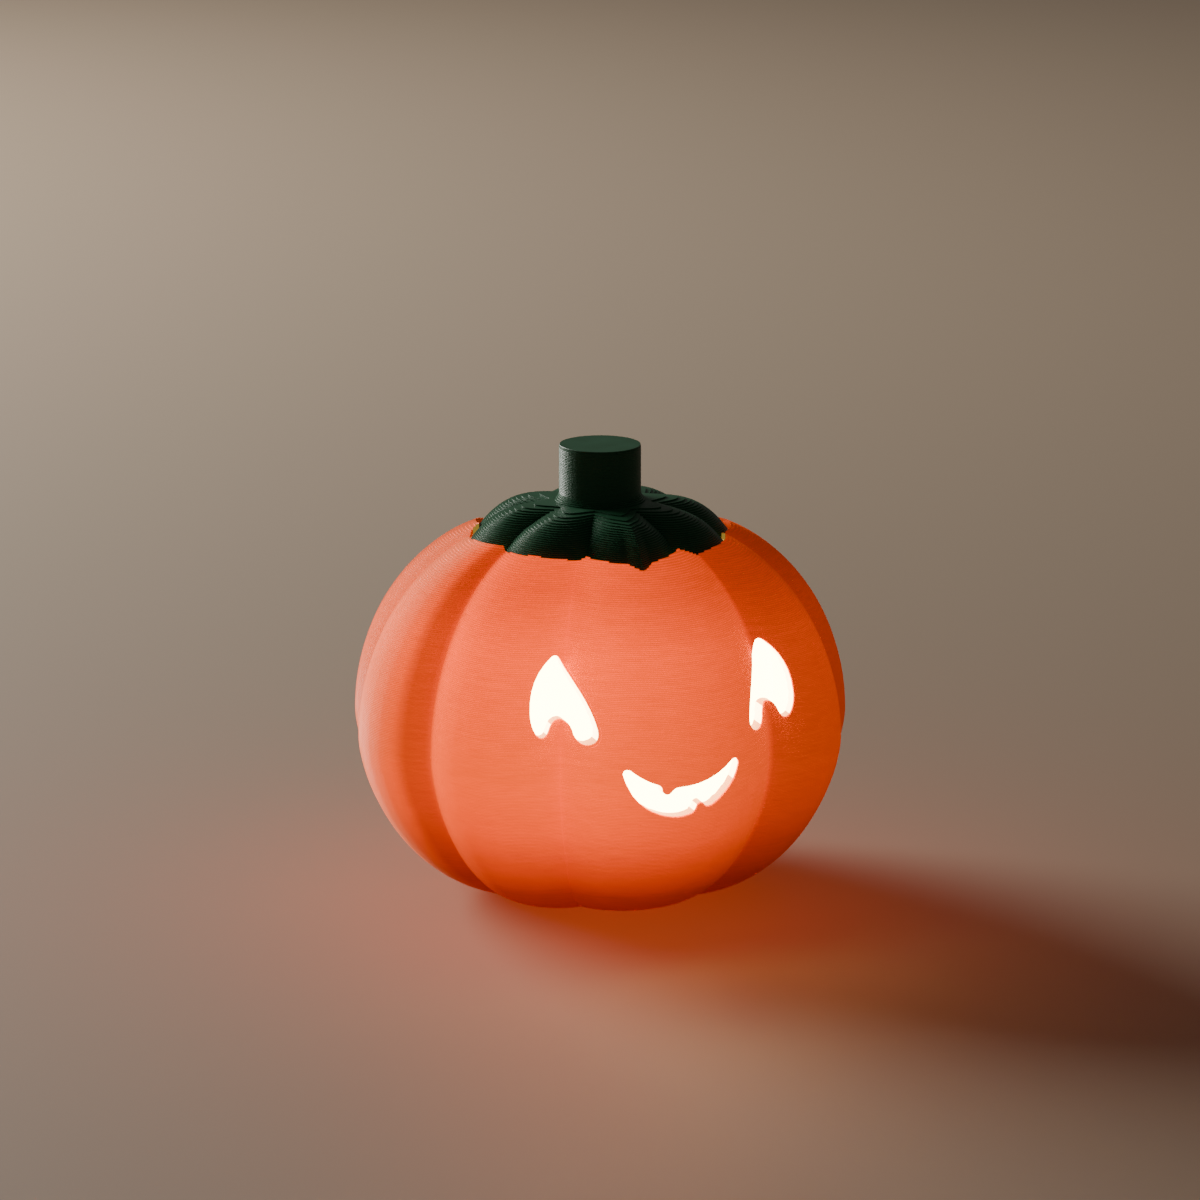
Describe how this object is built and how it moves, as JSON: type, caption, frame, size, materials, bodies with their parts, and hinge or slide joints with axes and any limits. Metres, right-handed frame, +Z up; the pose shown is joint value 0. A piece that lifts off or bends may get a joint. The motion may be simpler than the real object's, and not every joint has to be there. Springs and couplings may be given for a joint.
{
  "type": "printed plastic pumpkin lantern",
  "caption": "Hollow ribbed pumpkin lantern printed in orange plastic, with cut-through eyes and grin and a green leaf lid with a stem that sits in its top opening.",
  "frame": {"origin": "centre of the flat base, on the surface the lantern stands on", "axes": "+Z up through the stem, -Y the way the face looks, +X to the right of someone who looks at the face"},
  "size_m": [0.0854, 0.0848, 0.0759],
  "materials": {
    "orange_plastic": "matte print with fine level layer lines, lit warm from inside",
    "green_plastic": "satin print with fine level layer lines"
  },
  "bodies": {
    "root": {"pumpkin_body": "orange_plastic", "leaf_lid": "green_plastic"}
  },
  "joints": []
}
